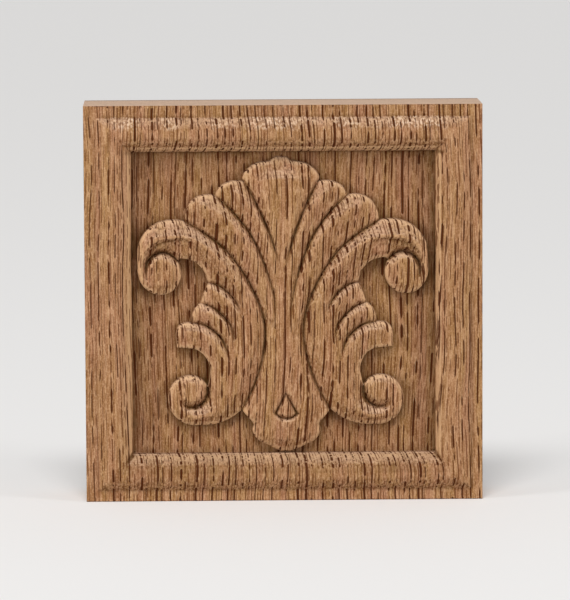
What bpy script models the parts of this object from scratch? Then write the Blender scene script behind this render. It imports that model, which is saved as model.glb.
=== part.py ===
"""A square corner rosette carved from one piece of red oak: a fillet and a bead frame a sunk panel
with a palmette of leaves and four scrolls. It stands on its bottom edge with the carving towards -Y."""

from math import ceil, cos, pi, radians, sin, sqrt

import bmesh
import bpy
import numpy as np
from mathutils import Vector
from mathutils.geometry import delaunay_2d_cdt

# Driving dimensions, in metres.
BLOCK_SIDE = 0.095
BLOCK_DEPTH = 0.022        # from the back to the crown of the bead
FILLET_WIDTH = 0.0026
FILLET_DROP = 0.0016       # how far the fillet lies below the crown of the bead
BEAD_WIDTH = 0.0088
PANEL_DROP = 0.005         # how far the panel lies below the crown of the bead
MOTIF_SIDE_GAP = 0.0013    # bare panel between the scrolls and the frame
MOTIF_END_GAP = 0.00075    # bare panel above and below the motif, were it in the panel's middle
MOTIF_SINK = 0.00034       # how far the motif sits below the panel's middle
RELIEF_STEP = 0.001        # one step of the heights in the drawing

# How finely the solid follows the form.
BEAD_FACETS = 5            # on each side of the crown
LINE_SPACING = 0.00105
FILL_SPACING = 0.00105
GRID_CELLS = 200           # across half the drawing

# The right half of the motif is drawn in hundredths of its half width and half height, from its middle.
# Heights above the panel, in steps, are spread evenly along each line.
DRAWN_WIDTH = 98.5
DRAWN_HEIGHT = 98.1
DRAWN_LIMIT = 100.0


def scroll(centre, start, sweep, radius, shrink, tall):
    """Points on a spiral round the centre: sweep is in degrees, and the radius shrinks with each half turn."""
    steps = ceil(abs(sweep) / 15)
    points = []
    for i in range(steps + 1):
        turned = sweep * i / steps
        r = radius - shrink * abs(turned) / 180
        a = radians(start + turned)
        points.append((centre[0] + r * cos(a), centre[1] + tall * r * sin(a)))
    return points


def eye(centre, width, height):
    """A closed ring on the round end of a scroll."""
    return [(centre[0] + width * cos(radians(a)), centre[1] + height * sin(radians(a)))
            for a in range(0, 361, 24)]


UPPER_EYE = (81.7, 22.5)
LOWER_EYE = (64.0, -58.0)
LOWER_COIL_CENTRE = (63.0, -61.4)
UPPER_COIL = scroll(UPPER_EYE, 0, -212, 16.8, 4.1, 1.06)
UPPER_TURN_IN = scroll(UPPER_EYE, -212, -175, 11.97, 1.0, 1.06)
LOWER_COIL = scroll(LOWER_COIL_CENTRE, -90, 240, 19.6, 5.79, 0.988)[::-1]
LOWER_TURN_IN = [LOWER_COIL[0], (53, -60.5), (56, -65.6), (61, -68.4), (66.5, -68.4), (71.5, -65.4)]

EDGES = [
    # the knob, the middle lobe and the two leaves beside it
    ([(0, 97.9), (4, 97.4), (7, 95)], (1.2, 1.5)),
    ([(7, 95), (14, 94.2), (19, 92.4), (23.4, 88.8), (25.8, 84.8), (25.2, 81.8)], (1.6, 1.9, 1.9)),
    ([(25.2, 81.8), (29, 82), (34, 81.7), (38.5, 80), (42.4, 77), (44.8, 72.4)], (1.8, 2.1, 1.8)),
    ([(44.8, 72.4), (48.5, 73), (53.5, 72.5), (58.2, 70.7), (62, 67.2), (64.6, 62), (65.6, 55.4)],
     (1.8, 2.1, 1.8)),
    # the long leaf that curls into the upper scroll, and its underside
    ([(65.6, 55.4), (71.4, 56.3), (77.8, 56), (84.4, 54.2), (90.5, 50.4), (95.3, 44.6), (98, 37.4),
      UPPER_COIL[0]], (1.8, 2.3, 2.4)),
    (UPPER_COIL, (2.4, 2.3, 2.2, 2.1)),
    ([UPPER_COIL[-1], (69, 30.9), (63, 30), (59, 28.3), (55.8, 25.4), (53, 21.6), (50.6, 14.5)],
     (2.0, 2.1, 2.0)),
    # three leaflets, the last a blunt hook
    ([(50.6, 14.5), (52, 11.5), (53.8, 7.5), (56, 1)], (1.9, 2.1, 1.9)),
    ([(56, 1), (59.4, -2), (62, -6.8), (62.5, -12)], (1.9, 2.1, 1.9)),
    ([(62.5, -12), (66, -12.3), (70, -13.3), (72.6, -16.2), (73.4, -21), (72.9, -28.4)], (1.9, 2.1, 2.2)),
    ([(72.9, -28.4), (62, -29.4), (57, -31.6), (53.4, -35.4), (51.3, -40.2), (50.8, -45), LOWER_COIL[0]],
     (2.3, 2.6, 2.0)),
    # the lower scroll, the flare of the stem and the foot
    (LOWER_COIL, (2.1, 2.2, 2.1)),
    ([LOWER_COIL[-1], (52.4, -80.4), (45, -79), (38, -76), (30, -70.5)], (2.0, 2.0)),
    ([(30, -70.5), (27, -74), (23.5, -78), (22, -80.5)], (2.2, 2.6, 2.2)),
    ([(22, -80.5), (22.9, -84), (21.6, -88), (18.4, -91.4), (13.5, -93.8), (8, -96.6), (3.5, -98.2),
      (0, -98.6)], (1.9, 1.8, 1.5)),
]

GROOVES = [
    # between the leaves, from their tips to the stem
    ([(25.2, 81.8), (18, 69), (9.5, 49.5), (4.5, 34.5), (1.5, 22)], (1.8, 2.6, 2.9, 3.2)),
    ([(44.8, 72.4), (32.4, 61), (20.4, 44.7), (13, 28), (8, 12), (5.5, 0), (5, -14)], (1.8, 2.5, 2.8, 3.3)),
    ([(65.6, 55.4), (51, 46.4), (37.3, 34.9), (24.2, 16.4), (14.9, -5), (13, -22), (16, -39.5), (22, -56),
      (30, -70.5)], (1.6, 2.2, 2.3, 2.0, 1.9)),
    # above each leaflet
    ([(50.6, 14.5), (44.5, 13), (38.3, 8.8), (33.3, 3), (30, -3), (28.2, -9.8)], (1.8, 2.4, 3.4)),
    ([(56, 1), (49, -1.4), (43, -6), (38.3, -11.4), (35.5, -16.6), (33.6, -28.7)], (1.8, 2.4, 3.5)),
    ([(62.5, -12), (54.5, -13.4), (49.8, -16), (45, -20), (41.3, -25.2), (37, -38.2)], (1.8, 2.4, 3.5)),
    # round the eyes of the scrolls
    (UPPER_TURN_IN, (1.2, 1.1, 1.3, 2.2)),
    (LOWER_TURN_IN, (1.2, 1.2, 2.4)),
]

CRESTS = [
    # the knob's shoulder, the lip of the middle lobe and its middle
    ([(0, 90), (4, 90.4), (9, 91)], (2.0, 1.9)),
    ([(0, 83.8), (8, 83.8), (16, 80.8)], (3.3, 3.0)),
    ([(0, 77), (0, 22)], (3.4, 3.1, 3.3)),
    ([(3, 35), (7.5, 57.5), (12.5, 75)], (3.5, 3.9)),
    # beside the upper groove of each leaf
    ([(4, 20), (8, 36), (13, 49.5), (21.5, 65.2), (31, 75.2)], (3.4, 3.9, 3.4)),
    ([(9.5, -10), (13, 10), (18, 27.5), (26.4, 45), (38.5, 58), (53.6, 66.4)], (3.4, 3.9, 3.3)),
    # the rolled edge of the long leaf, the hollow under it and the flat inside that
    ([(27, 10), (41, 28.5), (54, 40.8), (65, 45), (76, 45.4), (87, 43), (92.6, 36.4), (95.3, 28.5), (95.8, 20),
      (93, 12)], (3.6, 4.0, 4.1, 4.1, 3.7, 2.9)),
    ([(57, 37.6), (63, 39.6), (69.5, 40), (76, 39.2), (82, 37.4)], (3.5, 2.7, 2.0)),
    ([(61, 34), (67, 35.2), (73, 36)], (2.9, 2.5)),
    ([(24, 6), (21, -10), (22, -28), (28, -46), (36, -62), (43, -72)], (3.7, 3.7, 3.2)),
    ([(36, -40), (42, -46), (43, -58), (46, -67), (52, -72.6), (60, -74.6), (68, -73), (74, -67)],
     (3.7, 3.6, 2.9)),
    ([(49, 10), (43, 7.6), (36.5, 1), (31, -9)], (2.6, 3.6, 3.6)),
    ([(56, -5), (48, -5.8), (41, -12.2), (37, -22)], (2.7, 3.6, 3.7)),
    ([(67, -17.6), (57, -17.8), (49, -22.8), (43, -30.4), (40, -37)], (3.0, 3.8, 3.7)),
    # the middle of the stem, its flank and the foot
    ([(0, 5), (0, -43), (0, -80)], (3.3, 3.5, 3.4)),
    ([(9, -22), (9.5, -38), (15, -58), (20, -72)], (3.3, 3.4, 3.1)),
    ([(0, -90), (10, -88.8), (17, -86)], (2.9, 2.4)),
    (eye(UPPER_EYE, 8.0, 9.0), (3.1,)),
    (eye(LOWER_EYE, 6.8, 6.4), (3.0,)),
]

# A drop is cut into the foot of the stem with a narrow tool.
DROP_CUTS = [
    [(0, -47), (0, -59.5)],
    [(0, -59.5), (3.3, -65.6), (7.2, -72.8)],
    [(7.2, -72.8), (4.2, -75.4), (0, -76.2)],
]
CUT_WIDTH = 2.0            # of a groove's narrow bottom, to each side, in hundredths
CUT_DEPTH = 0.6            # in steps

panel_side = BLOCK_SIDE - 2 * (FILLET_WIDTH + BEAD_WIDTH)
panel_height = BLOCK_DEPTH - PANEL_DROP
unit_across = (panel_side / 2 - MOTIF_SIDE_GAP) / DRAWN_WIDTH
unit_up = (panel_side / 2 - MOTIF_END_GAP) / DRAWN_HEIGHT


def smooth_line(points, spacing):
    """Points at even spacing, in hundredths, on a smooth curve through the drawn points."""
    drawn = np.array(points, float)
    ends = np.vstack([2 * drawn[0] - drawn[1], drawn, 2 * drawn[-1] - drawn[-2]])
    t = np.linspace(0, 1, 16, endpoint=False)[:, None]
    stretches = [
        0.5 * (2 * b + (c - a) * t + (2 * a - 5 * b + 4 * c - d) * t**2 + (3 * b - a - 3 * c + d) * t**3)
        for a, b, c, d in zip(ends, ends[1:], ends[2:], ends[3:])
    ]
    curve = np.vstack(stretches + [drawn[-1:]])
    run = np.r_[0, np.cumsum(np.hypot(*np.diff(curve, axis=0).T))]
    at = np.linspace(0, run[-1], max(2, round(run[-1] / spacing) + 1))
    return np.column_stack([np.interp(at, run, curve[:, 0]), np.interp(at, run, curve[:, 1])])


def heights_along(line, heights):
    """The line's own heights, spread evenly over its points."""
    return np.interp(np.linspace(0, 1, len(line)), np.linspace(0, 1, max(2, len(heights))),
                     np.resize(heights, max(2, len(heights))))


def stretched_surface():
    """Heights on a grid over the half drawing: a skin stretched between the lines, as leather over wire."""
    cell = DRAWN_LIMIT / GRID_CELLS
    skin = np.full((2 * GRID_CELLS + 1, GRID_CELLS + 1), 2.8)
    held = np.zeros(skin.shape, bool)
    for group in (CRESTS, EDGES, GROOVES):
        total = np.zeros(skin.shape)
        count = np.zeros(skin.shape)
        for points, heights in group:
            line = smooth_line(points, cell / 2)
            column = np.clip(np.rint(line[:, 0] / cell).astype(int), 0, GRID_CELLS)
            row = np.clip(np.rint((line[:, 1] + DRAWN_LIMIT) / cell).astype(int), 0, 2 * GRID_CELLS)
            np.add.at(total, (row, column), heights_along(line, heights))
            np.add.at(count, (row, column), 1)
        on_line = count > 0
        skin[on_line] = total[on_line] / count[on_line]
        held |= on_line
    rows, columns = np.indices(skin.shape)
    for turn in range(2 * 240):
        free = ((rows + columns) % 2 == turn % 2) & ~held
        skin[free] += 1.8 * (neighbour_mean(skin)[free] - skin[free])
    for _ in range(4):
        skin = (skin + neighbour_mean(skin)) / 2
    return skin


def neighbour_mean(skin):
    """The mean of each cell's four neighbours; the first column's left neighbour is its mirror image."""
    wide = np.pad(skin, 1, mode="edge")
    wide[:, 0] = wide[:, 2]
    return (wide[:-2, 1:-1] + wide[2:, 1:-1] + wide[1:-1, :-2] + wide[1:-1, 2:]) / 4


def read_grid(skin, places):
    """The skin's height at each place."""
    cell = DRAWN_LIMIT / GRID_CELLS
    x = np.clip(np.abs(places[:, 0]) / cell, 0, GRID_CELLS - 0.001)
    z = np.clip((places[:, 1] + DRAWN_LIMIT) / cell, 0, 2 * GRID_CELLS - 0.001)
    column, row = x.astype(int), z.astype(int)
    right, up = x - column, z - row
    lower = skin[row, column] * (1 - right) + skin[row, column + 1] * right
    upper = skin[row + 1, column] * (1 - right) + skin[row + 1, column + 1] * right
    return lower * (1 - up) + upper * up


def distance_to(places, line):
    """How far each place is from the nearest point of a line."""
    return np.hypot(places[:, None, 0] - line[None, :, 0], places[:, None, 1] - line[None, :, 1]).min(axis=1)


def groove_depths(points):
    """How deep a groove's narrow bottom is cut: it fades out unless it ends at a corner of the edge."""
    runs_out = points[-1] in [stretch[0] for stretch, _ in EDGES]
    return [share * CUT_DEPTH for share in (0.8, 1, 1, 0.8, 0.8 if runs_out else 0)]


def cut_along(places, points, depths):
    """How deep a narrow tool, led along a drawn line, cuts at each place."""
    line = smooth_line(points, 0.25 * CUT_WIDTH)
    away = np.hypot(places[:, None, 0] - line[None, :, 0], places[:, None, 1] - line[None, :, 1])
    deepest = heights_along(line, depths)[away.argmin(axis=1)]
    return deepest * np.clip(1 - away.min(axis=1) / CUT_WIDTH, 0, 1)


def inside(places, outline):
    """Which places lie inside the closed outline: a ray to the right crosses it an odd number of times."""
    odd = np.zeros(len(places), bool)
    for (x0, z0), (x1, z1) in zip(outline, np.roll(outline, -1, axis=0)):
        if z0 == z1:
            continue
        crosses = (z0 > places[:, 1]) != (z1 > places[:, 1])
        at = x0 + (places[:, 1] - z0) * (x1 - x0) / (z1 - z0)
        odd ^= crosses & (places[:, 0] < at)
    return odd


def motif_lines(spacing):
    """The outline of the half motif, and every line that the facets follow."""
    stretches = [smooth_line(points, spacing) for points, _ in EDGES]
    outline = np.vstack([line[:-1] for line in stretches] + [stretches[-1][-1:]])
    middle = smooth_line([outline[-1], outline[0]], 2 * spacing)
    folds = [smooth_line(points, spacing) for points, _ in GROOVES + CRESTS]
    folds += [smooth_line(points, spacing) for points in DROP_CUTS]
    return outline, middle, folds


def half_carving(body):
    """Adds the panel and the motif, both to the right of the middle, to the mesh."""
    spacing = LINE_SPACING / unit_across
    outline, middle, folds = motif_lines(spacing)
    edge_x = panel_side / 2 / unit_across
    top = (panel_side / 2 + MOTIF_SINK) / unit_up
    bottom = (MOTIF_SINK - panel_side / 2) / unit_up
    border = np.array([(0, bottom), (edge_x, bottom), (edge_x, top), (0, top)])

    step = FILL_SPACING / unit_across
    rows = np.arange(-DRAWN_LIMIT, DRAWN_LIMIT, step * sin(pi / 3))
    fill = np.array([(x + step * (0.5 + 0.5 * (i % 2)), z)
                     for i, z in enumerate(rows) for x in np.arange(0, DRAWN_LIMIT, step)])
    fill = fill[inside(fill, outline)]
    for line in [outline, middle] + folds:
        fill = fill[distance_to(fill, line) > 0.6 * step]

    places = []
    links = []
    for line in [outline, middle] + folds:
        links += [(len(places) + i, len(places) + i + 1) for i in range(len(line) - 1)]
        places += list(line)
    links += [(len(places) + i, len(places) + i + 1) for i in range(3)]
    links += [(len(places), len(outline) - 1), (len(places) + 3, 0)]
    places += list(border) + list(fill)
    flat, _, facets, *_ = delaunay_2d_cdt([Vector(p) for p in places], links, [], 1, 0.05, False)
    flat = np.array([tuple(p) for p in flat])
    flat[np.abs(flat[:, 0]) < 0.02, 0] = 0

    cuts = [cut_along(flat, points, groove_depths(points)) for points, _ in GROOVES]
    cuts += [cut_along(flat, points, (CUT_DEPTH,)) for points in DROP_CUTS]
    steps = read_grid(stretched_surface(), flat) - np.max(cuts, axis=0)
    ground = [body.verts.new(place(x, z, panel_height)) for x, z in flat]
    carved = [body.verts.new(place(x, z, panel_height + h * RELIEF_STEP)) for (x, z), h in zip(flat, steps)]
    middles = np.array([flat[list(facet)].mean(axis=0) for facet in facets])
    in_motif = inside(middles, outline)
    seen = {}
    for facet, raised in zip(facets, in_motif):
        level = carved if raised else ground
        body.faces.new([level[i] for i in facet])
        for link in zip(facet, facet[1:] + facet[:1]):
            seen.setdefault(frozenset(link), []).append((link, raised))
    for uses in seen.values():
        if len(uses) == 2 and uses[0][1] != uses[1][1]:
            start, end = next(link for link, raised in uses if raised)
            body.faces.new((carved[end], carved[start], ground[start], ground[end]))


def place(x, z, height):
    """A point of the drawing as a point of the block, its height counted from the back."""
    return (x * unit_across, BLOCK_DEPTH / 2 - height, BLOCK_SIDE / 2 - MOTIF_SINK + z * unit_up)


def frame_profile():
    """How far in from the edge, and how high above the back, the frame's corners run. The bead rises from the
    fillet in an arc of a circle and falls to the panel in a quarter of an ellipse."""
    half = BEAD_WIDTH / 2
    middle = FILLET_WIDTH + half
    radius = (half**2 + FILLET_DROP**2) / (2 * FILLET_DROP)
    profile = [(0, 0), (0, BLOCK_DEPTH - FILLET_DROP)]
    for x in np.linspace(-half, 0, BEAD_FACETS + 1):
        profile.append((middle + x, BLOCK_DEPTH - radius + sqrt(radius**2 - x**2)))
    for a in np.linspace(0, pi / 2, BEAD_FACETS + 1)[1:]:
        profile.append((middle + half * sin(a), panel_height + PANEL_DROP * cos(a)))
    return profile


def half_frame(body):
    """Adds the back, the sides, the fillet and the bead, all to the right of the middle, to the mesh."""
    rings = []
    for inset, height in frame_profile():
        reach = BLOCK_SIDE / 2 - inset
        corners = [(0, -reach), (reach, -reach), (reach, reach), (0, reach)]
        rings.append([body.verts.new((x, BLOCK_DEPTH / 2 - height, BLOCK_SIDE / 2 + z)) for x, z in corners])
    for outer, inner in zip(rings, rings[1:]):
        for i in range(3):
            body.faces.new((outer[i], outer[i + 1], inner[i + 1], inner[i]))
    body.faces.new(rings[0][::-1])


def red_oak():
    material = bpy.data.materials.new("red_oak")
    material.use_nodes = True
    surface = material.node_tree.nodes["Principled BSDF"]
    surface.inputs["Base Color"].default_value = (0.33, 0.17, 0.08, 1)
    surface.inputs["Roughness"].default_value = 0.6
    surface.inputs["Metallic"].default_value = 0
    material.diffuse_color = (0.33, 0.17, 0.08, 1)
    return material


def carved_rosette():
    body = bmesh.new()
    half_frame(body)
    half_carving(body)
    bmesh.ops.remove_doubles(body, verts=body.verts, dist=1e-6)
    bmesh.ops.delete(body, geom=[v for v in body.verts if not v.link_faces], context="VERTS")
    bmesh.ops.triangulate(body, faces=body.faces)
    mesh = bpy.data.meshes.new("carved_rosette")
    body.to_mesh(mesh)
    body.free()
    mesh.materials.append(red_oak())
    rosette = bpy.data.objects.new("carved_rosette", mesh)
    bpy.context.scene.collection.objects.link(rosette)
    mirror = rosette.modifiers.new("left half", "MIRROR")
    mirror.merge_threshold = 1e-6
    mesh.shade_smooth()
    mesh.set_sharp_from_angle(angle=radians(35))
    return rosette


for old in list(bpy.data.objects):
    bpy.data.objects.remove(old)
carved_rosette()
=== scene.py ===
from math import ceil, cos, pi, radians, sin, sqrt

import bmesh
import bpy
import numpy as np
from mathutils import Euler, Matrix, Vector
from mathutils.geometry import delaunay_2d_cdt


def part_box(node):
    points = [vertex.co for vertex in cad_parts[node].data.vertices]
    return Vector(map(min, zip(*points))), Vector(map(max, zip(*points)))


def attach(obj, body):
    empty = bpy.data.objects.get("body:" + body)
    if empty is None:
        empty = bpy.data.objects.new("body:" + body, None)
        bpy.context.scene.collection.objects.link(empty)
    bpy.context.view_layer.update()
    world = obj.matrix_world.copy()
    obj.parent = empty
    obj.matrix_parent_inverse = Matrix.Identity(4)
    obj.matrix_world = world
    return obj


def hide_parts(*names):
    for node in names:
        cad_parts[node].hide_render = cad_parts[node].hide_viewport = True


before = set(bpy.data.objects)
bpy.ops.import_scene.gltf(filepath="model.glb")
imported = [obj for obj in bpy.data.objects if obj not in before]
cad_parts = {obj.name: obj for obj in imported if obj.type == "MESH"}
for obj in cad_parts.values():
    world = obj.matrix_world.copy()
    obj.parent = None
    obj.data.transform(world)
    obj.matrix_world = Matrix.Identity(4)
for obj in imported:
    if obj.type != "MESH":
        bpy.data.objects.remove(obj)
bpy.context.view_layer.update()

# The block. One square of red oak, sawn flat on its back and edges. A moulding cutter has run a fillet and
# a bead round its face, and the panel inside is sunk for the carving. Face and back have eased arrises.
low, high = (Vector(corner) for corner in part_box("carved_rosette"))
BLOCK_SIDE = high.x - low.x
BLOCK_DEPTH = high.y - low.y
BACK = high.y
MIDDLE = (low.z + high.z) / 2
FILLET_WIDTH = 0.0026
FILLET_DROP = 0.0016
BEAD_WIDTH = 0.0088
PANEL_DROP = 0.005
ARRIS = 0.0003
PITCH = 0.00046            # between neighbouring points of the surface
SIDE_STEPS = 6
panel_side = BLOCK_SIDE - 2 * (FILLET_WIDTH + BEAD_WIDTH)
panel_height = BLOCK_DEPTH - PANEL_DROP
side_points = 2 * round(panel_side / PITCH / 2)


def frame_profile():
    """How far in from the block's edge, and how high above its back, the rings of points run."""
    fillet = BLOCK_DEPTH - FILLET_DROP
    half = BEAD_WIDTH / 2
    profile = [(ARRIS, 0), (0, ARRIS)]
    profile += [(0, ARRIS + (fillet - 2 * ARRIS) * i / SIDE_STEPS) for i in range(1, SIDE_STEPS + 1)]
    profile += [(ARRIS * (1 - cos(a)), fillet - ARRIS * (1 - sin(a))) for a in (pi / 6, pi / 3, pi / 2)]
    profile += [(x, fillet) for x in np.arange(2 * ARRIS, FILLET_WIDTH - PITCH / 2, PITCH)]
    middle = FILLET_WIDTH + half
    radius = (half**2 + FILLET_DROP**2) / (2 * FILLET_DROP)
    facets = ceil(half / PITCH)
    for x in np.linspace(-half, 0, facets + 1):
        profile.append((middle + x, BLOCK_DEPTH - radius + sqrt(radius**2 - x**2)))
    facets = ceil(pi * half / 2 / PITCH)
    for a in np.linspace(0, pi / 2, facets + 1)[1:]:
        profile.append((middle + half * sin(a), panel_height + PANEL_DROP * cos(a)))
    return profile


def square_ring(reach, height):
    """A ring of points round a square, from its lower left corner, at a height above the back."""
    run = np.linspace(-reach, reach, side_points + 1)[:-1]
    flat = np.full(side_points, reach)
    x = np.concatenate([run, flat, -run, -flat])
    z = np.concatenate([-flat, run, flat, -run])
    return [(a, BACK - height, MIDDLE + b) for a, b in zip(x, z)]


def add_frame(points, faces):
    """Rings from the back's edge over the sides, the fillet and the bead to the panel, and the flat back."""
    count = 4 * side_points
    profile = frame_profile()
    for inset, height in profile:
        points += square_ring(BLOCK_SIDE / 2 - inset, height)
    for ring in range(0, (len(profile) - 1) * count, count):
        for i in range(count):
            j = (i + 1) % count
            faces.append((ring + i, ring + j, ring + count + j, ring + count + i))
    faces.append(tuple(range(count))[::-1])


# The palmette. Cut from the same wood: a middle lobe, three pairs of leaves that rise from the stem, the last
# pair curled into scrolls, three leaflets and a lower scroll to each side, and a foot with a drop cut in it.
# Its right half is drawn in hundredths of its half size, with heights in millimetres above the panel.
MOTIF_SIDE_GAP = 0.0013    # between the motif and the frame
MOTIF_END_GAP = 0.00075
MOTIF_SINK = 0.00034       # how far the motif sits below the panel's middle
MOTIF_LEAN = -0.018        # how far it leans aside on its way up, as the carver's hand left it
LEAN_FADE = 0.0008         # beside the frame, where the lean gives way
DRAWN_WIDTH = 98.5         # how far the drawn half reaches
DRAWN_HEIGHT = 98.1
DRAWN_LIMIT = 100.0
COIL_STEP = 15             # degrees between a scroll's drawn points
EYE_STEP = 24
MILLIMETRES = 1000         # in a metre
unit_across = (panel_side / 2 - MOTIF_SIDE_GAP) / DRAWN_WIDTH
unit_up = (panel_side / 2 - MOTIF_END_GAP) / DRAWN_HEIGHT


def scroll(centre, start, sweep, radius, shrink, tall):
    """Points on a spiral: its sweep is in degrees, and its radius shrinks with each half turn."""
    steps = ceil(abs(sweep) / COIL_STEP)
    points = []
    for i in range(steps + 1):
        turned = sweep * i / steps
        r = radius - shrink * abs(turned) / 180
        a = radians(start + turned)
        points.append((centre[0] + r * cos(a), centre[1] + tall * r * sin(a)))
    return points


def eye(centre, width, height):
    """A closed ring on the round end of a scroll."""
    return [(centre[0] + width * cos(radians(a)), centre[1] + height * sin(radians(a)))
            for a in range(0, 361, EYE_STEP)]


UPPER_EYE = (81.7, 22.5)
LOWER_EYE = (64.0, -58.0)
LOWER_COIL_CENTRE = (63.0, -61.4)
UPPER_COIL = scroll(UPPER_EYE, start=0, sweep=-212, radius=16.8, shrink=4.1, tall=1.06)
UPPER_TURN_IN = scroll(UPPER_EYE, start=-212, sweep=-175, radius=11.97, shrink=1.0, tall=1.06)
LOWER_COIL = scroll(LOWER_COIL_CENTRE, start=-90, sweep=240, radius=19.6, shrink=5.79, tall=0.988)[::-1]
LOWER_TURN_IN = [LOWER_COIL[0], (53, -60.5), (56, -65.6), (61, -68.4), (66.5, -68.4), (71.5, -65.4)]

EDGES = [
    # the knob, the middle lobe and the two leaves beside it
    ([(0, 97.9), (4, 97.4), (7, 95)], (1.2, 1.5)),
    ([(7, 95), (14, 94.2), (19, 92.4), (23.4, 88.8), (25.8, 84.8), (25.2, 81.8)], (1.6, 1.9, 1.9)),
    ([(25.2, 81.8), (29, 82), (34, 81.7), (38.5, 80), (42.4, 77), (44.8, 72.4)], (1.8, 2.1, 1.8)),
    ([(44.8, 72.4), (48.5, 73), (53.5, 72.5), (58.2, 70.7), (62, 67.2), (64.6, 62), (65.6, 55.4)],
     (1.8, 2.1, 1.8)),
    # the long leaf that curls into the upper scroll, and its underside
    ([(65.6, 55.4), (71.4, 56.3), (77.8, 56), (84.4, 54.2), (90.5, 50.4), (95.3, 44.6), (98, 37.4),
      UPPER_COIL[0]], (1.8, 2.3, 2.4)),
    (UPPER_COIL, (2.4, 2.3, 2.2, 2.1)),
    ([UPPER_COIL[-1], (69, 30.9), (63, 30), (59, 28.3), (55.8, 25.4), (53, 21.6), (50.6, 14.5)],
     (2.0, 2.1, 2.0)),
    # three leaflets, the last a blunt hook
    ([(50.6, 14.5), (52, 11.5), (53.8, 7.5), (56, 1)], (1.9, 2.1, 1.9)),
    ([(56, 1), (59.4, -2), (62, -6.8), (62.5, -12)], (1.9, 2.1, 1.9)),
    ([(62.5, -12), (66, -12.3), (70, -13.3), (72.6, -16.2), (73.4, -21), (72.9, -28.4)], (1.9, 2.1, 2.2)),
    ([(72.9, -28.4), (62, -29.4), (57, -31.6), (53.4, -35.4), (51.3, -40.2), (50.8, -45), LOWER_COIL[0]],
     (2.3, 2.6, 2.0)),
    # the lower scroll, the flare of the stem and the foot
    (LOWER_COIL, (2.1, 2.2, 2.1)),
    ([LOWER_COIL[-1], (52.4, -80.4), (45, -79), (38, -76), (30, -70.5)], (2.0, 2.0)),
    ([(30, -70.5), (27, -74), (23.5, -78), (22, -80.5)], (2.2, 2.6, 2.2)),
    ([(22, -80.5), (22.9, -84), (21.6, -88), (18.4, -91.4), (13.5, -93.8), (8, -96.6), (3.5, -98.2),
      (0, -98.6)], (1.9, 1.8, 1.5)),
]

GROOVES = [
    # between the leaves, from their tips to the stem
    ([(25.2, 81.8), (18, 69), (9.5, 49.5), (4.5, 34.5), (1.5, 22)], (1.8, 2.6, 2.9, 3.2)),
    ([(44.8, 72.4), (32.4, 61), (20.4, 44.7), (13, 28), (8, 12), (5.5, 0), (5, -14)], (1.8, 2.5, 2.8, 3.3)),
    ([(65.6, 55.4), (51, 46.4), (37.3, 34.9), (24.2, 16.4), (14.9, -5), (13, -22), (16, -39.5), (22, -56),
      (30, -70.5)], (1.6, 2.2, 2.3, 2.0, 1.9)),
    # above each leaflet
    ([(50.6, 14.5), (44.5, 13), (38.3, 8.8), (33.3, 3), (30, -3), (28.2, -9.8)], (1.8, 2.4, 3.4)),
    ([(56, 1), (49, -1.4), (43, -6), (38.3, -11.4), (35.5, -16.6), (33.6, -28.7)], (1.8, 2.4, 3.5)),
    ([(62.5, -12), (54.5, -13.4), (49.8, -16), (45, -20), (41.3, -25.2), (37, -38.2)], (1.8, 2.4, 3.5)),
    # round the eyes of the scrolls
    (UPPER_TURN_IN, (1.2, 1.1, 1.3, 2.2)),
    (LOWER_TURN_IN, (1.2, 1.2, 2.4)),
]

CRESTS = [
    # the knob's shoulder, the lip of the middle lobe and its middle
    ([(0, 90), (4, 90.4), (9, 91)], (2.0, 1.9)),
    ([(0, 83.8), (8, 83.8), (16, 80.8)], (3.3, 3.0)),
    ([(0, 77), (0, 22)], (3.4, 3.1, 3.3)),
    ([(3, 35), (7.5, 57.5), (12.5, 75)], (3.5, 3.9)),
    # beside the upper groove of each leaf
    ([(4, 20), (8, 36), (13, 49.5), (21.5, 65.2), (31, 75.2)], (3.4, 3.9, 3.4)),
    ([(9.5, -10), (13, 10), (18, 27.5), (26.4, 45), (38.5, 58), (53.6, 66.4)], (3.4, 3.9, 3.3)),
    # the rolled edge of the long leaf, the hollow under it and the flat inside that
    ([(27, 10), (41, 28.5), (54, 40.8), (65, 45), (76, 45.4), (87, 43), (92.6, 36.4), (95.3, 28.5),
      (95.8, 20), (93, 12)], (3.6, 4.0, 4.1, 4.1, 3.7, 2.9)),
    ([(57, 37.6), (63, 39.6), (69.5, 40), (76, 39.2), (82, 37.4)], (3.5, 2.7, 2.0)),
    ([(61, 34), (67, 35.2), (73, 36)], (2.9, 2.5)),
    ([(24, 6), (21, -10), (22, -28), (28, -46), (36, -62), (43, -72)], (3.7, 3.7, 3.2)),
    ([(36, -40), (42, -46), (43, -58), (46, -67), (52, -72.6), (60, -74.6), (68, -73), (74, -67)],
     (3.7, 3.6, 2.9)),
    ([(49, 10), (43, 7.6), (36.5, 1), (31, -9)], (2.6, 3.6, 3.6)),
    ([(56, -5), (48, -5.8), (41, -12.2), (37, -22)], (2.7, 3.6, 3.7)),
    ([(67, -17.6), (57, -17.8), (49, -22.8), (43, -30.4), (40, -37)], (3.0, 3.8, 3.7)),
    # the middle of the stem, its flank and the foot
    ([(0, 5), (0, -43), (0, -80)], (3.3, 3.5, 3.4)),
    ([(9, -22), (9.5, -38), (15, -58), (20, -72)], (3.3, 3.4, 3.1)),
    ([(0, -90), (10, -88.8), (17, -86)], (2.9, 2.4)),
    (eye(UPPER_EYE, 8.0, 9.0), (3.1,)),
    (eye(LOWER_EYE, 6.8, 6.4), (3.0,)),
]

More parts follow.
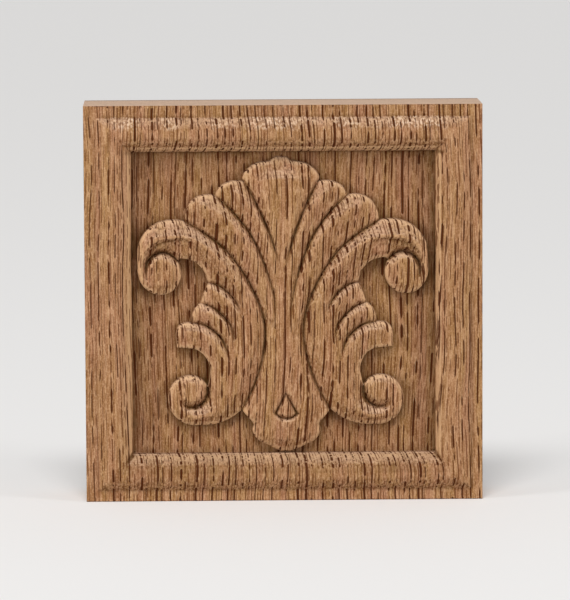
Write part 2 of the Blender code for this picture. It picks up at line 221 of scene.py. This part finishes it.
# The cuts of a narrow tool, with their depths below the surface, fade out to each side of its path.
TOOL_CUTS = [
    # the drop in the foot of the stem
    ([(0, -47), (0, -59.5)], (0, 0.3, 0.8)),
    ([(0, -59.5), (3.3, -65.6), (7.2, -72.8)], (1.0,)),
    ([(7.2, -72.8), (4.2, -75.4), (0, -76.2)], (1.0,)),
    # a line that sharpens the long leaf's rolled edge
    ([(58, 41), (67, 43), (76, 42.4), (84.4, 40.2), (90, 35.4), (92.6, 28)], (0, 0.5, 0.6, 0.6, 0.5, 0)),
]
CUT_REACH = 1.7            # to each side of the path
CUT_SPACING = 0.2 * CUT_REACH
CUT_DEPTH = 0.8           # along the bottom of each groove
GROOVE_ENDS = 0.8          # of that depth, where a groove starts or runs out at the edge
CURVE_STEPS = 24           # between two drawn points


def smooth_line(points, spacing):
    """Points at even spacing, in hundredths, on a smooth curve through the drawn points."""
    drawn = np.array(points, float)
    ends = np.vstack([2 * drawn[0] - drawn[1], drawn, 2 * drawn[-1] - drawn[-2]])
    t = np.linspace(0, 1, CURVE_STEPS, endpoint=False)[:, None]
    stretches = [
        0.5 * (2 * b + (c - a) * t + (2 * a - 5 * b + 4 * c - d) * t**2 + (3 * b - a - 3 * c + d) * t**3)
        for a, b, c, d in zip(ends, ends[1:], ends[2:], ends[3:])
    ]
    curve = np.vstack(stretches + [drawn[-1:]])
    run = np.r_[0, np.cumsum(np.hypot(*np.diff(curve, axis=0).T))]
    at = np.linspace(0, run[-1], max(2, round(run[-1] / spacing) + 1))
    return np.column_stack([np.interp(at, run, curve[:, 0]), np.interp(at, run, curve[:, 1])])


def heights_along(line, heights):
    """The line's own heights, spread evenly over its points."""
    count = max(2, len(heights))
    return np.interp(np.linspace(0, 1, len(line)), np.linspace(0, 1, count), np.resize(heights, count))


GRID_CELLS = 250           # over the drawing's half width
FLAT_START = 2.8           # the skin's height before it is stretched
STRETCH_ROUNDS = 320
OVERSHOOT = 1.85           # of each step towards the neighbours' mean, so that few rounds are enough
SOFTENING_ROUNDS = 9       # that round off the lines themselves


def neighbour_mean(skin):
    """The mean of each cell's four neighbours; the first column's left neighbour is its mirror image."""
    wide = np.pad(skin, 1, mode="edge")
    wide[:, 0] = wide[:, 2]
    return (wide[:-2, 1:-1] + wide[2:, 1:-1] + wide[1:-1, :-2] + wide[1:-1, 2:]) / 4


def stretched_surface():
    """Heights on a grid over the half drawing: a skin stretched between the lines, as leather over wire."""
    cell = DRAWN_LIMIT / GRID_CELLS
    skin = np.full((2 * GRID_CELLS + 1, GRID_CELLS + 1), FLAT_START)
    held = np.zeros(skin.shape, bool)
    for group in (CRESTS, EDGES, GROOVES):
        total = np.zeros(skin.shape)
        count = np.zeros(skin.shape)
        for points, heights in group:
            line = smooth_line(points, cell / 2)
            column = np.clip(np.rint(line[:, 0] / cell).astype(int), 0, GRID_CELLS)
            row = np.clip(np.rint((line[:, 1] + DRAWN_LIMIT) / cell).astype(int), 0, 2 * GRID_CELLS)
            np.add.at(total, (row, column), heights_along(line, heights))
            np.add.at(count, (row, column), 1)
        on_line = count > 0
        skin[on_line] = total[on_line] / count[on_line]
        held |= on_line
    rows, columns = np.indices(skin.shape)
    for turn in range(2 * STRETCH_ROUNDS):
        free = ((rows + columns) % 2 == turn % 2) & ~held
        skin[free] += OVERSHOOT * (neighbour_mean(skin)[free] - skin[free])
    for _ in range(SOFTENING_ROUNDS):
        skin = (skin + neighbour_mean(skin)) / 2
    return skin


def read_grid(skin, places):
    """The skin's height at each place."""
    cell = DRAWN_LIMIT / GRID_CELLS
    hair = 0.001
    x = np.clip(np.abs(places[:, 0]) / cell, 0, GRID_CELLS - hair)
    z = np.clip((places[:, 1] + DRAWN_LIMIT) / cell, 0, 2 * GRID_CELLS - hair)
    column, row = x.astype(int), z.astype(int)
    right, up = x - column, z - row
    lower = skin[row, column] * (1 - right) + skin[row, column + 1] * right
    upper = skin[row + 1, column] * (1 - right) + skin[row + 1, column + 1] * right
    return lower * (1 - up) + upper * up


def nearest_on(places, line):
    """The distance from each place to a line's nearest point, and that point's number."""
    at_once = 4000         # places, so that the table of distances stays small
    away = np.empty(len(places))
    number = np.empty(len(places), int)
    for start in range(0, len(places), at_once):
        block = slice(start, start + at_once)
        square = ((places[block, None] - line[None]) ** 2).sum(axis=2)
        number[block] = square.argmin(axis=1)
        away[block] = np.sqrt(square.min(axis=1))
    return away, number


def groove_depths(points):
    """How deep a groove's narrow bottom is cut: it fades out unless it ends at a corner of the edge."""
    runs_out = points[-1] in [stretch[0] for stretch, _ in EDGES]
    shares = (GROOVE_ENDS, 1, 1, GROOVE_ENDS, GROOVE_ENDS if runs_out else 0)
    return [share * CUT_DEPTH for share in shares]


def cut_along(places, points, depths):
    """How deep a narrow tool, led along a drawn line, cuts at each place."""
    line = smooth_line(points, CUT_SPACING)
    away, number = nearest_on(places, line)
    return heights_along(line, depths)[number] * np.clip(1 - away / CUT_REACH, 0, 1)


def inside(places, outline):
    """Which places lie inside the closed outline: a ray to the right crosses it an odd number of times."""
    odd = np.zeros(len(places), bool)
    for (x0, z0), (x1, z1) in zip(outline, np.roll(outline, -1, axis=0)):
        if z0 == z1:
            continue
        crosses = (z0 > places[:, 1]) != (z1 > places[:, 1])
        at = x0 + (places[:, 1] - z0) * (x1 - x0) / (z1 - z0)
        odd ^= crosses & (places[:, 0] < at)
    return odd


WALL_SLOPE = 0.00024       # how far the foot of the carving's wall stands out from its edge
EDGE_WEAR = 0.3            # millimetres off the carving's edge
LINE_PITCH = 0.8           # between the points of a line, in steps of the surface, as the next three
FILL_CLEARANCE = 0.6       # between a line and the points beside it
BORDER_CLEARANCE = 0.5     # between the frame and the points beside it
FOOT_CLEARANCE = 0.2       # between the carving's foot and the frame
NOTCH_LIMIT = 0.97         # of the foot's distance: where it comes nearer to the outline, it is left out
SAME_PLACE = 0.02          # hundredths within which points are one
ON_MIDDLE = 0.03           # and within which they lie on the middle line, or on the carving's edge
ON_EDGE = 0.05


def wall_foot(outline, distance):
    """Runs of points a little outside the outline, left out where they would cross in a notch."""
    along = np.gradient(outline, axis=0)
    out = np.column_stack([-along[:, 1], along[:, 0]]) / np.hypot(*along.T)[:, None]
    foot = outline + distance * out
    foot[[0, -1], 0] = 0
    clear = nearest_on(foot, outline)[0] > NOTCH_LIMIT * distance
    clear[[0, -1]] = True
    return foot[clear & ~inside(foot, outline)]


def hex_fill(step):
    """Places on a triangular grid over the right half of the panel and a little past it."""
    limit = 1.1 * DRAWN_LIMIT
    rows = np.arange(-limit, limit, step * sin(pi / 3))
    return np.array([(x + step * (0.5 + 0.5 * (i % 2)), z)
                     for i, z in enumerate(rows) for x in np.arange(0, limit, step)])


def carved_half():
    """The right half of the panel and its carving: places in the drawing, heights in metres, and facets."""
    spacing = LINE_PITCH * PITCH / unit_across
    stretches = [smooth_line(points, spacing) for points, _ in EDGES]
    outline = np.vstack([line[:-1] for line in stretches] + [stretches[-1][-1:]])
    foot = wall_foot(outline, WALL_SLOPE / unit_across)
    middle = smooth_line([outline[-1], outline[0]], spacing)
    folds = [smooth_line(points, spacing) for points, _ in GROOVES + CRESTS + TOOL_CUTS]

    step = PITCH / unit_across
    reach = np.array([panel_side / 2 / unit_across, panel_side / 2 / unit_up])
    centre = np.array([0, MOTIF_SINK / unit_up])
    run = np.linspace(0, 1, side_points // 2 + 1)
    rise = np.linspace(-1, 1, side_points + 1)
    border = np.concatenate([
        np.column_stack([run, -np.ones_like(run)])[:-1],
        np.column_stack([np.ones_like(rise), rise]),
        np.column_stack([run, np.ones_like(run)])[:-1][::-1],
    ]) * reach + centre
    foot[:, 1] = np.maximum(foot[:, 1], border[0, 1] + FOOT_CLEARANCE * step)

    fill = hex_fill(step)
    fill = fill[(np.abs(fill - centre) < reach - BORDER_CLEARANCE * step).all(axis=1)]
    for line in [outline, foot, middle] + folds:
        fill = fill[nearest_on(fill, line)[0] > FILL_CLEARANCE * step]
    places, links = [], []
    for line in [outline, foot, middle, border] + folds:
        links += [(len(places) + i, len(places) + i + 1) for i in range(len(line) - 1)]
        places += list(line)
    ends = len(outline) + len(foot) + len(middle)
    links += [(len(outline) - 1, len(outline) + len(foot) - 1), (len(outline) + len(foot) - 1, ends)]
    links += [(0, len(outline)), (len(outline), ends + len(border) - 1)]
    places += list(fill)
    within_border = 1
    places = [Vector(place) for place in places]
    flat, _, facets, *_ = delaunay_2d_cdt(places, links, [], within_border, SAME_PLACE, False)
    flat = np.array([tuple(place) for place in flat])
    flat[np.abs(flat[:, 0]) < ON_MIDDLE, 0] = 0

    cuts = [cut_along(flat, points, groove_depths(points)) for points, _ in GROOVES]
    cuts += [cut_along(flat, points, depths) for points, depths in TOOL_CUTS]
    edge = nearest_on(flat, outline)[0] < ON_EDGE
    height = read_grid(stretched_surface(), flat) - np.max(cuts, axis=0) - EDGE_WEAR * edge
    return flat, np.where(inside(flat, outline) | edge, height, 0) / MILLIMETRES, facets


def add_carving(points, faces):
    """Both halves of the carving. The left one is the right one's mirror image, before the whole leans."""
    flat, height, facets = carved_half()
    for side in (1, -1):
        start = len(points)
        x = side * flat[:, 0] * unit_across
        z = flat[:, 1] * unit_up - MOTIF_SINK
        from_frame = panel_side / 2 - np.maximum(np.abs(x), np.abs(z))
        x += MOTIF_LEAN * z * np.clip(from_frame / LEAN_FADE, 0, 1)
        points += list(zip(x, BACK - panel_height - height, MIDDLE + z))
        faces += [tuple(start + i for i in facet[::side]) for facet in facets]


WELD_DISTANCE = 2e-6
SHARP_FROM = radians(60)   # the angle from which two facets meet in a crisp edge


def rosette_mesh():
    """The whole block as one closed mesh, its halves and its frame welded where they meet."""
    points, faces = [], []
    add_frame(points, faces)
    add_carving(points, faces)
    mesh = bpy.data.meshes.new("oak_rosette")
    mesh.from_pydata(points, [], faces)
    body = bmesh.new()
    body.from_mesh(mesh)
    bmesh.ops.remove_doubles(body, verts=body.verts, dist=WELD_DISTANCE)
    bmesh.ops.recalc_face_normals(body, faces=body.faces)
    body.to_mesh(mesh)
    body.free()
    mesh.shade_smooth()
    mesh.set_sharp_from_angle(angle=SHARP_FROM)
    return mesh


# Shade is painted where a point lies below its surroundings, narrow grooves and wide hollows alike.
SHADE_CELL = 0.0003        # of the grid on which the heights are averaged
NARROW_REACH = 0.0005
NARROW_DEPTH = 0.0005      # how far below its surroundings the shade is full
WIDE_REACH = 0.0012
WIDE_DEPTH = 0.0014
HOLLOW_START = 0.12        # of that depth, where a wide hollow on the carving starts to darken
HOLLOW_GAIN = 2.4
GROUND_DEPTH = 0.00008     # above the panel, up to which a point is on the ground
FACE_MARGIN = 1.1 * ARRIS
LEDGE_SHADE = 0.35         # darkening on the inner side of the bottom bead, and the share of painted shade kept beside it
FUZZ_AND_HIGHLIGHT_ELSEWHERE = 0.25      # of torn pale fibres and their painted highlight, next to their amount on the top bead's shoulder
# The cutter ran past the panel's upper corners and scored the lower ones: how far out and up each nick goes.
NICK_TIPS = {1: (0.003, 0.0002), -1: (0.0024, -0.0027)}
NICK_WIDTH = 0.0005
NICK_DEPTH = 0.0003
# painted shade in the nicks
NICK_SHADE = 3


def corner_nicks(x, z):
    """How far each point lies within a nick beside a corner of the panel: 1 where it starts, 0 outside it."""
    amount = np.zeros(len(x))
    for up, (out, rise) in NICK_TIPS.items():
        a = np.abs(x) - panel_side / 2
        b = z - MIDDLE - up * panel_side / 2
        length = sqrt(out**2 + rise**2)
        along = (a * out + b * rise) / length**2
        beside = np.abs(a * rise - b * out) / length
        amount += (along > 0) * np.clip(1 - along, 0, 1) * np.clip(1 - beside / NICK_WIDTH, 0, 1)
    return amount


def below_surroundings(x, z, height, reach):
    """How far each point lies below the mean height within a reach."""
    column = ((x - low.x) / SHADE_CELL).astype(int)
    row = ((z - low.z) / SHADE_CELL).astype(int)
    side = ceil(BLOCK_SIDE / SHADE_CELL) + 1
    total = np.zeros((side, side))
    count = np.zeros((side, side))
    np.add.at(total, (row, column), height)
    np.add.at(count, (row, column), 1)
    wave = np.fft.fftfreq(side, SHADE_CELL)
    blur = np.exp(-2 * (pi * reach) ** 2 * (wave[:, None] ** 2 + wave**2))
    around, weight = (np.fft.ifft2(np.fft.fft2(grid) * blur).real for grid in (total, count))
    return (around / weight)[row, column] - height


def mark_surface(mesh):
    """Sinks the nicks, and notes on each point whether it is on the carved face and on the sunk ground, how
    much painted shade it takes below its surroundings or in a nick, how dark the bottom bead's inner side is
    made, how far above them it lies, for a painted highlight, and how torn its fibres are, where they catch a
    painted highlight."""
    place = np.empty(3 * len(mesh.vertices))
    mesh.vertices.foreach_get("co", place)
    x, y, z = place.reshape(-1, 3).T
    height = BACK - y
    from_middle = np.maximum(np.abs(x), np.abs(z - MIDDLE))
    face = (height > BLOCK_DEPTH / 2) & (from_middle < BLOCK_SIDE / 2 - FACE_MARGIN)
    ground = face & (height < panel_height + GROUND_DEPTH)
    narrow = np.zeros(len(height))
    wide = np.zeros(len(height))
    narrow[face] = below_surroundings(x[face], z[face], height[face], NARROW_REACH) / NARROW_DEPTH
    wide[face] = below_surroundings(x[face], z[face], height[face], WIDE_REACH) / WIDE_DEPTH
    on_frame = face & (from_middle > panel_side / 2 + ARRIS)
    inner_wall = on_frame & (from_middle < panel_side / 2 + BEAD_WIDTH / 2)
    bottom = (MIDDLE - z > np.abs(x)) & (from_middle > panel_side / 2 - 2 * WIDE_REACH)
    wide *= np.where(bottom, LEDGE_SHADE, 1)
    on_carving = np.maximum(narrow, HOLLOW_GAIN * (wide - HOLLOW_START))
    # painted shade where a point lies below its surroundings
    painted_shade = np.where(ground, wide, np.where(on_frame, narrow, on_carving))
    # the inner side of the bottom bead made evenly darker, the other inner walls left clear
    painted_shade[inner_wall] = LEDGE_SHADE * bottom[inner_wall]
    # the nicks sink and take painted shade
    nick = corner_nicks(x, z) * face
    painted_shade += NICK_SHADE * nick
    y += NICK_DEPTH * nick
    mesh.vertices.foreach_set("co", place)
    top_bead = on_frame & ~inner_wall & (z - MIDDLE > np.abs(x))
    marks = {
        "face": face,
        "ground": ground,
        "painted_shade": np.clip(painted_shade, 0, 1),
        "crest": np.clip(-narrow, 0, 1),
        "fuzz_and_highlight": np.where(top_bead, 1, FUZZ_AND_HIGHLIGHT_ELSEWHERE * face),
    }
    for name, values in marks.items():
        mesh.attributes.new(name, "FLOAT", "POINT").data.foreach_set("value", values.astype(np.float32))


rosette = bpy.data.objects.new("oak_rosette", rosette_mesh())
mark_surface(rosette.data)
bpy.context.scene.collection.objects.link(rosette)


# The wood. Red oak with its grain upright: rows of wide open vessels, one to each year's spring wood, and
# fine pores and fibres between them. The rows stand square to the face at the left and lean over at the
# right, and they curve as the tree's rings do on their way to the back.
ROW_SPACING = 1.9          # millimetres, as all sizes in the wood's patterns
ROW_HALF_WIDTH = 0.24
ROW_UNEVENNESS = 0.55
ROW_LEAN = 0.18            # in the middle of the block
ROW_TURN = 0.003           # added to the lean with each millimetre to the right
ROW_CURVE = 0.015
ROW_WANDER = 5             # how far a row strays aside
ROW_CHANGE = 50            # how far the noise moves on, so that no two rows break up alike
LEAST_WIDTH = 0.6          # of the half width, in the finest row
WIDTH_RANGE = 0.8
SOFT_EDGE = 0.4
VESSEL_LENGTH = 5.5
VESSEL_DEPTH = 0.7
LINE_SPACING = 0.75        # of the fine pores between the rows
LINE_HALF_WIDTH = 0.13
# The spots of each pattern are as wide, deep and long as its size says.
WANDER_SIZE = (24, 24, 55)
BAND_SIZE = (2.5, 2.5, 30)
PATCH_SIZE = (8, 8, 50)
SHADE_UNEVENNESS_SIZE = (4, 4, 5)
FIBRE_SIZE = (0.3, 0.3, 4)
SPECK_SIZE = (0.5, 0.5, 0.8)
GRIT_SIZE = (0.28, 0.28, 0.45)
GAP_SIZE = (0.5, 0.35, 3.5)
HAND_SIZE = (4, 4, 9)
FIBRE_RELIEF = 0.3         # next to the depth of a wide vessel
LINE_RELIEF = 0.4
END_RELIEF = 0.6
PORE_DEPTH = 0.0002
BUMP_STRENGTH = 0.8
BARE_ROUGHNESS = 0.74
VESSEL_ROUGHNESS = 0.2     # added in a vessel
BARE_SHINE = 0.1
GRAIN_DEPTHS = {"Row depth": 0.00006, "Hand depth": 0.00012}
SOFT_HALF_WIDTH = 3 * ROW_HALF_WIDTH


def tone(red, green, blue):
    """A colour as it is seen, in 0 to 255, as the linear values that a shader takes."""
    return tuple(((c / 255 + 0.055) / 1.055) ** 2.4 for c in (red, green, blue)) + (1,)


YELLOW_BAND = tone(151, 112, 70)
PINK_BAND = tone(154, 109, 79)
BROWN_PATCH = tone(130, 88, 50)
PALE_FIBRE = tone(198, 158, 122)
DARK_FIBRE = tone(104, 58, 16)
PALE_GRIT = tone(214, 176, 140)
DARK_GRIT = tone(96, 58, 26)
TORN_FIBRE_HIGHLIGHT = tone(228, 202, 176)
END_PORE = tone(80, 44, 14)
LIT_LEDGE = tone(214, 182, 156)
PAINTED_UNDERSIDE_SHADE = tone(84, 50, 24)
DULL_GROUND = tone(86, 52, 24)
PAINTED_CREST_HIGHLIGHT = tone(212, 172, 130)
PAINTED_SHADE_TONE = tone(74, 46, 10)
FINE_PORE = tone(86, 40, 4)
WIDE_PORE = tone(68, 28, 1)
SAWN_END = tone(222, 192, 168)


class Wire:
    """A socket that can be added, multiplied and so on: each operation adds its Math node."""

    def __init__(self, tree, socket):
        self.tree = tree
        self.socket = socket

    def maths(self, operation, *values):
        node = self.tree.add("ShaderNodeMath", {"operation": operation})
        for socket, value in zip(node.inputs, (self, *values)):
            self.tree.feed(socket, value)
        return Wire(self.tree, node.outputs[0])

    def __add__(self, other):
        return self.maths("ADD", other)

    __radd__ = __add__

    def __sub__(self, other):
        return self.maths("SUBTRACT", other)

    def __rsub__(self, other):
        return self.maths("MULTIPLY", -1) + other

    def __mul__(self, other):
        return self.maths("MULTIPLY", other)

    __rmul__ = __mul__

    def __truediv__(self, other):
        return self.maths("DIVIDE", other)

    def __abs__(self):
        return self.maths("ABSOLUTE")

    def clamped(self):
        return self.tree.wire("ShaderNodeClamp", {}, {"Value": self})

    def above(self, level, gain):
        """0 up to the level, and from there a rise to 1."""
        return ((self - level) * gain).clamped()

    def below(self, level, gain):
        """0 down to the level, and from there a rise to 1."""
        return ((level - self) * gain).clamped()


class Tree:
    """A node tree in which one method adds every kind of node."""

    def __init__(self, tree):
        self.nodes = tree.nodes
        self.links = tree.links

    def feed(self, socket, value):
        if isinstance(value, Wire):
            self.links.new(value.socket, socket)
        else:
            socket.default_value = value

    def add(self, kind, settings=None, values=None):
        """Adds a node: its settings first, then its sockets, by name or identifier."""
        node = self.nodes.new(kind)
        for name, setting in (settings or {}).items():
            setattr(node, name, setting)
        for name, value in (values or {}).items():
            self.feed(next(s for s in node.inputs if name in (s.identifier, s.name)), value)
        return node

    def wire(self, kind, settings=None, values=None, output=0):
        return Wire(self, self.add(kind, settings, values).outputs[output])

    def mix(self, factor, first, second):
        node = self.add("ShaderNodeMix", {"data_type": "RGBA"},
                        {"Factor_Float": factor, "A_Color": first, "B_Color": second})
        return Wire(self, next(s for s in node.outputs if s.identifier == "Result_Color"))

    def vector(self, x, y, z):
        return self.wire("ShaderNodeCombineXYZ", {}, {"X": x, "Y": y, "Z": z})

    def split(self, vector):
        parts = self.add("ShaderNodeSeparateXYZ", {}, {"Vector": vector})
        return [Wire(self, output) for output in parts.outputs]

    def noise(self, x, y, z, detail=2):
        place = self.vector(x, y, z)
        return self.wire("ShaderNodeTexNoise", {}, {"Vector": place, "Scale": 1, "Detail": detail})

    def spots(self, place, size, detail=2):
        return self.noise(*(part / length for part, length in zip(place, size)), detail)


def oak_grain(tree, place):
    """Where a point of the wood lies across the rows, into the board and along the grain, in millimetres."""
    x, y, z = (part * MILLIMETRES for part in tree.split(place))
    depth = y + MILLIMETRES * BLOCK_DEPTH / 2
    lean = ROW_LEAN + x * ROW_TURN
    wander = tree.spots((x, y, z), WANDER_SIZE) * ROW_WANDER
    return x + y * lean + depth * depth * ROW_CURVE + wander, y, z


def open_rows(tree, grain, spacing, half_width, length):
    """Rows of vessels at uneven spacing, cut open where the surface meets them: 1 inside, 0 outside. Each row
    is broken along the grain into long vessels with pointed ends."""
    across, into, along = grain
    row = tree.add("ShaderNodeTexVoronoi", {"voronoi_dimensions": "1D"},
                   {"W": across / spacing, "Scale": 1, "Randomness": ROW_UNEVENNESS})
    strength, offset, _ = tree.split(Wire(tree, row.outputs["Color"]))
    broken = tree.noise(offset * ROW_CHANGE, into / VESSEL_DEPTH, along / length, detail=1)
    width = half_width * (LEAST_WIDTH + WIDTH_RANGE * strength) * broken.above(0.43, 12)
    away = Wire(tree, row.outputs["Distance"]) * spacing
    return ((width - away) / (SOFT_EDGE * half_width)).clamped()


def red_oak():
    """Bare wood in two-toned bands under coats of other tones, one after another, painted light and shade
    among them.
    """
    material = bpy.data.materials.new("bare_red_oak")
    material.use_nodes = True
    tree = Tree(material.node_tree)
    grain = oak_grain(tree, tree.wire("ShaderNodeTexCoord", output=3))
    face, ground, painted_shade, crest, fuzz_and_highlight = (
        tree.wire("ShaderNodeAttribute", {"attribute_name": name}, output=2)
        for name in ("face", "ground", "painted_shade", "crest", "fuzz_and_highlight")
    )
    aside, _, up = tree.split(tree.wire("ShaderNodeNewGeometry", output=1))
    band = tree.spots(grain, BAND_SIZE)
    patch = tree.spots(grain, PATCH_SIZE)
    shade_unevenness = tree.spots(grain, SHADE_UNEVENNESS_SIZE)
    fibre = tree.spots(grain, FIBRE_SIZE, detail=3)
    speck = tree.spots(grain, SPECK_SIZE)
    grit = tree.spots(grain, GRIT_SIZE)
    gap = tree.spots(grain, GAP_SIZE).below(0.54, 12)
    side = (abs(aside) * 5 - 4).clamped()
    vessels = open_rows(tree, grain, ROW_SPACING, ROW_HALF_WIDTH, VESSEL_LENGTH) * (1 - side * gap)
    lines = open_rows(tree, grain, LINE_SPACING, LINE_HALF_WIDTH, VESSEL_LENGTH / 2)

    # how far the surface turns up or down, and on the outer edges of the block only in the last
    end_grain = (abs(up) * 3 - 0.5).clamped()
    skyward = (up * 1.5 - 0.3 - painted_shade).clamped() * face
    top_light = (up * 4 - 0.4 - painted_shade * 2).clamped() * patch.above(0.42, 7) * fuzz_and_highlight
    underside = (up * -1.6 - 0.1).clamped() * face
    sawn_end = (abs(up) * 10 - 9).clamped() * (1 - face)
    coats = [
        # where each coat lies, how strong it is there, and its tone
        (patch.above(0.42, 4), 0.3, BROWN_PATCH),
        (fibre.above(0.5, 6), 0.5, PALE_FIBRE),
        (fibre.below(0.5, 6), 0.45, DARK_FIBRE),
        (grit.above(0.52, 8), 0.22, PALE_GRIT),
        (grit.below(0.46, 8), 0.25, DARK_GRIT),
        # torn pale fibres where the surface turns up: the wood's own raised grain, with a painted highlight
        # on it
        (top_light * speck.above(0.48, 8), 0.55, TORN_FIBRE_HIGHLIGHT),
        (end_grain * speck.below(0.48, 10), 0.7, END_PORE),
        (skyward, 0.5, LIT_LEDGE),
        # painted shade on faces that turn down
        (underside, 0.2, PAINTED_UNDERSIDE_SHADE),
        (ground, 0.13, DULL_GROUND),
        # painted highlight on crests that stand above their surroundings
        (crest, 0.5, PAINTED_CREST_HIGHLIGHT),
        # painted shade in grooves, hollows and nicks, made uneven by noise
        ((painted_shade * (shade_unevenness * 1.6 - 0.18)).clamped(), 1, PAINTED_SHADE_TONE),
        (lines, 0.72, FINE_PORE),
        (vessels, 0.95, WIDE_PORE),
        (sawn_end, 0.75, SAWN_END),
    ]
    colour = tree.mix(band.above(0.36, 3.5), YELLOW_BAND, PINK_BAND)
    for where, strength, shade in coats:
        colour = tree.mix(where * strength, colour, shade)
    bump = fibre * FIBRE_RELIEF - vessels - lines * LINE_RELIEF + end_grain * speck * END_RELIEF
    relief = {"Height": bump, "Distance": PORE_DEPTH, "Strength": BUMP_STRENGTH}
    surface = material.node_tree.nodes["Principled BSDF"]
    tree.feed(surface.inputs["Base Color"], colour)
    tree.feed(surface.inputs["Roughness"], BARE_ROUGHNESS + VESSEL_ROUGHNESS * vessels)
    tree.feed(surface.inputs["Normal"], tree.wire("ShaderNodeBump", {}, relief))
    tree.feed(surface.inputs["Specular IOR Level"], BARE_SHINE)
    return material


def open_grain(material):
    """A tree that sinks the carved face along its soft rows and unevenly, as sanding by hand leaves it."""
    group = bpy.data.node_groups.new("open_grain", "GeometryNodeTree")
    group.interface.new_socket("Geometry", in_out="INPUT", socket_type="NodeSocketGeometry")
    for name in GRAIN_DEPTHS:
        group.interface.new_socket(name, in_out="INPUT", socket_type="NodeSocketFloat")
    group.interface.new_socket("Geometry", in_out="OUTPUT", socket_type="NodeSocketGeometry")
    tree = Tree(group)
    given = tree.add("NodeGroupInput")
    face = tree.wire("GeometryNodeInputNamedAttribute", {"data_type": "FLOAT"}, {"Name": "face"})
    grain = oak_grain(tree, tree.wire("GeometryNodeInputPosition"))
    rows = open_rows(tree, grain, ROW_SPACING, SOFT_HALF_WIDTH, VESSEL_LENGTH)
    hand = tree.spots(grain, HAND_SIZE)
    row_depth, hand_depth = (Wire(tree, given.outputs[name]) for name in GRAIN_DEPTHS)
    sink = face * (rows * row_depth + hand * hand_depth)
    offset = tree.wire("ShaderNodeVectorMath", {"operation": "SCALE"},
                       {"Vector": tree.wire("GeometryNodeInputNormal"), "Scale": sink * -1})
    moved = tree.wire("GeometryNodeSetPosition", {},
                      {"Geometry": Wire(tree, given.outputs["Geometry"]), "Offset": offset})
    real = tree.wire("GeometryNodeRealizeInstances", {}, {"Geometry": moved})
    painted = tree.wire("GeometryNodeSetMaterial", {}, {"Geometry": real, "Material": material})
    tree.add("NodeGroupOutput", {}, {"Geometry": painted})
    return group


grain_tree = rosette.modifiers.new("open grain", "NODES")
grain_tree.node_group = open_grain(red_oak())
for socket in grain_tree.node_group.interface.items_tree:
    if socket.name in GRAIN_DEPTHS:
        grain_tree[socket.identifier] = GRAIN_DEPTHS[socket.name]
finished = bpy.data.meshes.new_from_object(rosette.evaluated_get(bpy.context.evaluated_depsgraph_get()))
rosette.modifiers.clear()
rosette.data = finished
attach(rosette, "root")
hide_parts("carved_rosette")

# The floor. A plain pale table under the block.
FLOOR_REACH = 6
FLOOR_COLOUR = (0.82, 0.81, 0.8, 1)
FLOOR_ROUGHNESS = 0.9
floor_mesh = bpy.data.meshes.new("floor")
floor_corners = [(FLOOR_REACH * x, FLOOR_REACH * y, 0) for x, y in ((-1, -1), (1, -1), (1, 1), (-1, 1))]
floor_mesh.from_pydata(floor_corners, [], [(0, 1, 2, 3)])
floor = bpy.data.objects.new("floor", floor_mesh)
bpy.context.scene.collection.objects.link(floor)
pale = bpy.data.materials.new("pale_floor")
pale.use_nodes = True
pale.node_tree.nodes["Principled BSDF"].inputs["Base Color"].default_value = FLOOR_COLOUR
pale.node_tree.nodes["Principled BSDF"].inputs["Roughness"].default_value = FLOOR_ROUGHNESS
floor.data.materials.append(pale)

# The studio. Soft light from above and in front, a lamp low on each side, and a pale room.
FACE = Vector((0, low.y, MIDDLE))
LAMP_SIZE = 0.25
SKY_POWER = 2.05
SKY_SPREAD = radians(25)
SKY_DIRECTION = Vector((0.05, 0.6, -1))
ROOM_POWER = 0.32


def soft_lamp(name, place, power):
    light = bpy.data.lights.new(name, "AREA")
    light.size = LAMP_SIZE
    light.energy = power
    lamp = bpy.data.objects.new(name, light)
    lamp.location = place
    lamp.rotation_euler = (FACE - Vector(place)).to_track_quat("-Z", "Y").to_euler()
    bpy.context.scene.collection.objects.link(lamp)


soft_lamp("left_lamp", place=(-0.9, -0.5, 0.2), power=5)
soft_lamp("right_lamp", place=(0.9, -0.5, 0.2), power=4)
sky_light = bpy.data.lights.new("sky_lamp", "SUN")
sky_light.energy = SKY_POWER
sky_light.angle = SKY_SPREAD
sky_lamp = bpy.data.objects.new("sky_lamp", sky_light)
sky_lamp.rotation_euler = SKY_DIRECTION.to_track_quat("-Z", "Y").to_euler()
bpy.context.scene.collection.objects.link(sky_lamp)
room = bpy.data.worlds.new("pale_room")
room.use_nodes = True
room.node_tree.nodes["Background"].inputs["Color"].default_value = (1, 1, 1, 1)
room.node_tree.nodes["Background"].inputs["Strength"].default_value = ROOM_POWER
bpy.context.scene.world = room
bpy.context.scene.view_settings.view_transform = "Standard"

# The camera. A long lens a little above the block and a little to its left, rolled by a quarter of a degree.
DISTANCE = 1.1
ELEVATION = radians(6.4)
TURN = radians(1.2)
ROLL = radians(0.28)
FOCAL_PIXELS = 4614
IMAGE_HEIGHT = 600
SENSOR_WIDTH = 36
FAR_LIMIT = 50
AIM = FACE + Vector((0.00024, 0, 0.00105))
camera_data = bpy.data.cameras.new("camera")
camera_data.sensor_width = SENSOR_WIDTH
camera_data.lens = FOCAL_PIXELS * SENSOR_WIDTH / IMAGE_HEIGHT
camera_data.clip_end = FAR_LIMIT
camera = bpy.data.objects.new("camera", camera_data)
from_face = Vector((-sin(TURN) * cos(ELEVATION), -cos(TURN) * cos(ELEVATION), sin(ELEVATION)))
camera.location = FACE + DISTANCE * from_face
look = (AIM - camera.location).to_track_quat("-Z", "Y").to_matrix()
camera.rotation_euler = (look @ Euler((0, 0, -ROLL)).to_matrix()).to_euler()
bpy.context.scene.collection.objects.link(camera)
bpy.context.scene.camera = camera
